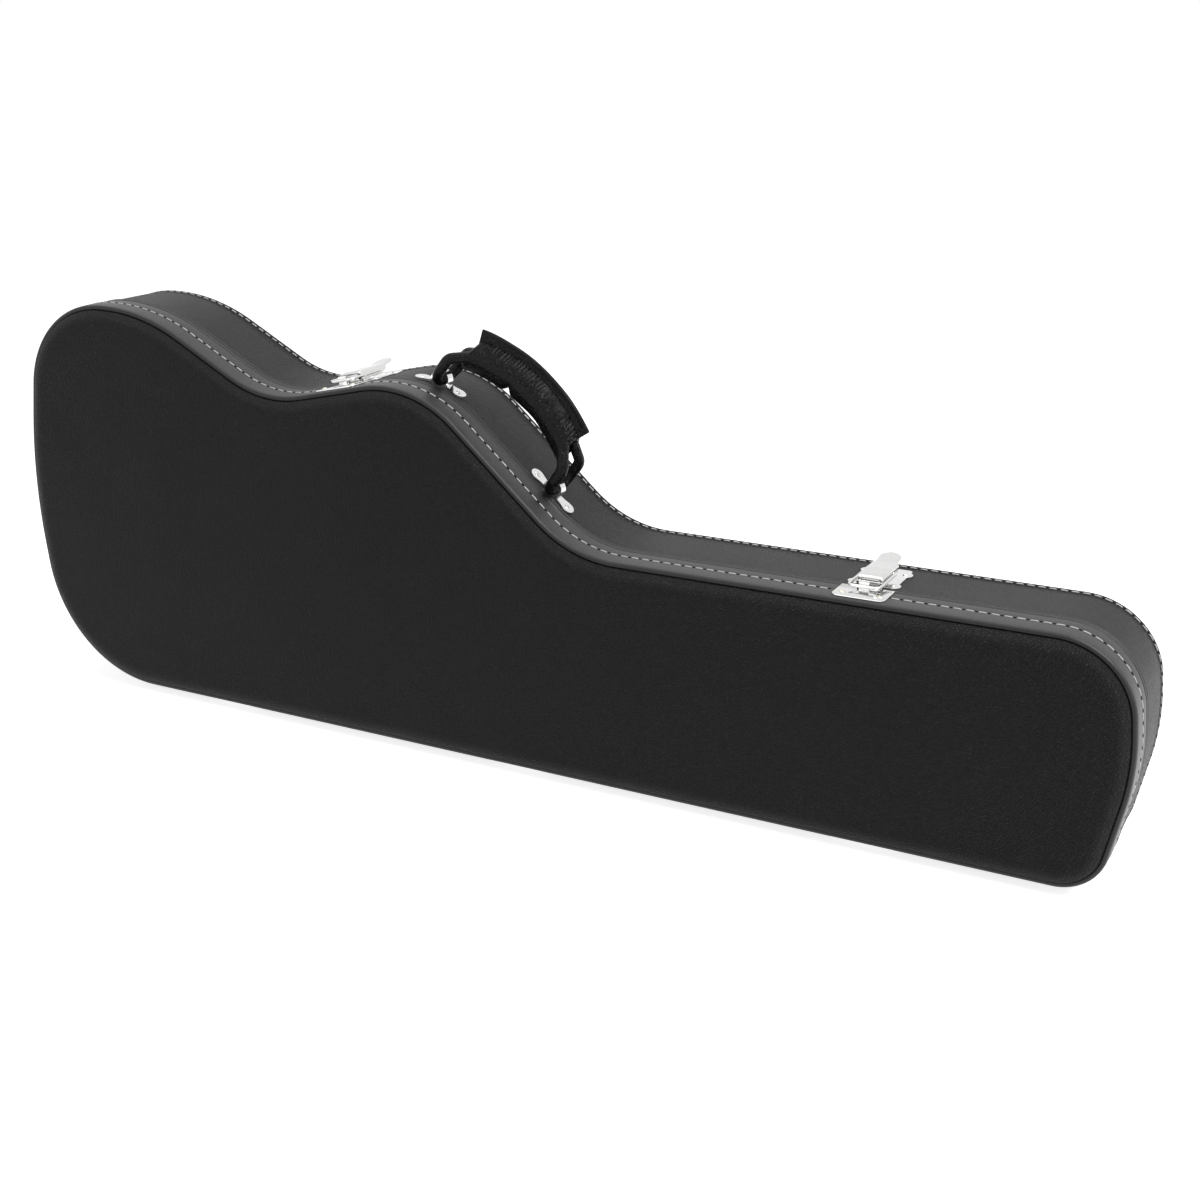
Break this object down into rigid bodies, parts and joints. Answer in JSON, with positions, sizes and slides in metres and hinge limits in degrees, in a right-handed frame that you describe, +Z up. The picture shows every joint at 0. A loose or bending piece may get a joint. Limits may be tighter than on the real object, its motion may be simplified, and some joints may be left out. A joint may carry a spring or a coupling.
{
  "type": "guitar case",
  "caption": "Hard shell case in the outline of an electric guitar, vinyl covered, with a hinged padded lid, chrome draw latches, leather handle and plush interior",
  "frame": {"origin": "on the floor under the middle of the overall box, the case standing on its hinge side", "axes": "+X to the headstock end, +Y to the back of the case, +Z up; the lid faces -Y"},
  "size_m": [1.0329, 0.1094, 0.3717],
  "materials": {
    "grained_vinyl": "grained satin",
    "smooth_vinyl": "smooth satin",
    "panel_vinyl": "fine grain satin",
    "plywood": "raw",
    "plush": "short pile",
    "foot_rubber": "matte",
    "hinge_steel": "nickel plated",
    "handle_leather": "glossy wrinkled",
    "chrome": "bright chrome"
  },
  "bodies": {
    "root": {"body_wall_butt": "grained_vinyl", "body_wall_waist": "grained_vinyl", "body_wall_bout": "grained_vinyl", "body_wall_slope": "grained_vinyl", "body_wall_neck": "grained_vinyl", "body_wall_head": "grained_vinyl", "body_wall_hinge_side": "grained_vinyl", "back_board": "plywood", "back_cover": "grained_vinyl", "back_piping": "smooth_vinyl", "rim_bead": "smooth_vinyl", "rim_lip": "plywood", "body_side_lining": "plush", "body_floor_lining": "plush", "hinge_body_leaves": "hinge_steel", "hinge_body_rivets": "hinge_steel", "hinge_pins": "hinge_steel", "body_feet": "foot_rubber", "waist_latch_base": "chrome", "waist_latch_pin": "chrome", "neck_latch_base": "chrome", "neck_latch_pin": "chrome", "latch_base_rivets": "chrome", "handle_staple_left": "chrome", "handle_staple_right": "chrome", "handle_screws_left": "chrome", "handle_screws_right": "chrome", "well_wall_body_side": "plush", "well_wall_neck_side": "plush", "neck_rest": "plush", "head_pad": "plush", "butt_pad": "plush"},
    "lid": {"lid_wall_butt": "smooth_vinyl", "lid_wall_waist": "smooth_vinyl", "lid_wall_bout": "smooth_vinyl", "lid_wall_slope": "smooth_vinyl", "lid_wall_neck": "smooth_vinyl", "lid_wall_head": "smooth_vinyl", "lid_wall_hinge_side": "smooth_vinyl", "lid_board": "plywood", "lid_padded_cover": "panel_vinyl", "lid_band": "smooth_vinyl", "lid_side_lining": "plush", "lid_floor_lining": "plush", "hinge_lid_leaves": "hinge_steel", "hinge_lid_rivets": "hinge_steel", "lid_feet": "foot_rubber", "waist_latch_catch": "chrome", "neck_latch_catch": "chrome", "latch_catch_rivets": "chrome"},
    "waist_lever": {"waist_latch_lever": "chrome"},
    "waist_bail": {"waist_latch_bail": "chrome"},
    "neck_lever": {"neck_latch_lever": "chrome"},
    "neck_bail": {"neck_latch_bail": "chrome"},
    "handle": {"handle_grip": "handle_leather", "handle_fin": "handle_leather", "handle_loop_left": "handle_leather", "handle_loop_right": "handle_leather"}
  },
  "joints": [
    {"name": "lid_swing", "type": "hinge", "parent": "root", "child": "lid", "pos_m": [0, -0.01395, 0.0046], "axis": [1, 0, 0], "range_deg": [0, 105]},
    {"name": "handle_swing", "type": "hinge", "parent": "root", "child": "handle", "pos_m": [-0.01731, -0.00675, 0.29751], "axis": [0.7934, 0, -0.6087], "range_deg": [-75, 75]},
    {"name": "waist_lever_lift", "type": "hinge", "parent": "root", "child": "waist_lever", "pos_m": [-0.16515, -0.01475, 0.32084], "axis": [0.9763, 0, 0.2163], "range_deg": [0, 95]},
    {"name": "waist_bail_swing", "type": "hinge", "parent": "waist_lever", "child": "waist_bail", "pos_m": [-0.16537, 0.00925, 0.32182], "axis": [0.9763, 0, 0.2163], "range_deg": [-90, 0]},
    {"name": "neck_lever_lift", "type": "hinge", "parent": "root", "child": "neck_lever", "pos_m": [0.3043, -0.01475, 0.2092], "axis": [1, 0, 0], "range_deg": [0, 95]},
    {"name": "neck_bail_swing", "type": "hinge", "parent": "neck_lever", "child": "neck_bail", "pos_m": [0.3043, 0.00925, 0.2102], "axis": [1, 0, 0], "range_deg": [-90, 0]}
  ],
  "couplings": [
    {"joint": "waist_bail_swing", "follows": "waist_lever_lift", "ratio": -0.9},
    {"joint": "neck_bail_swing", "follows": "neck_lever_lift", "ratio": -0.9}
  ]
}
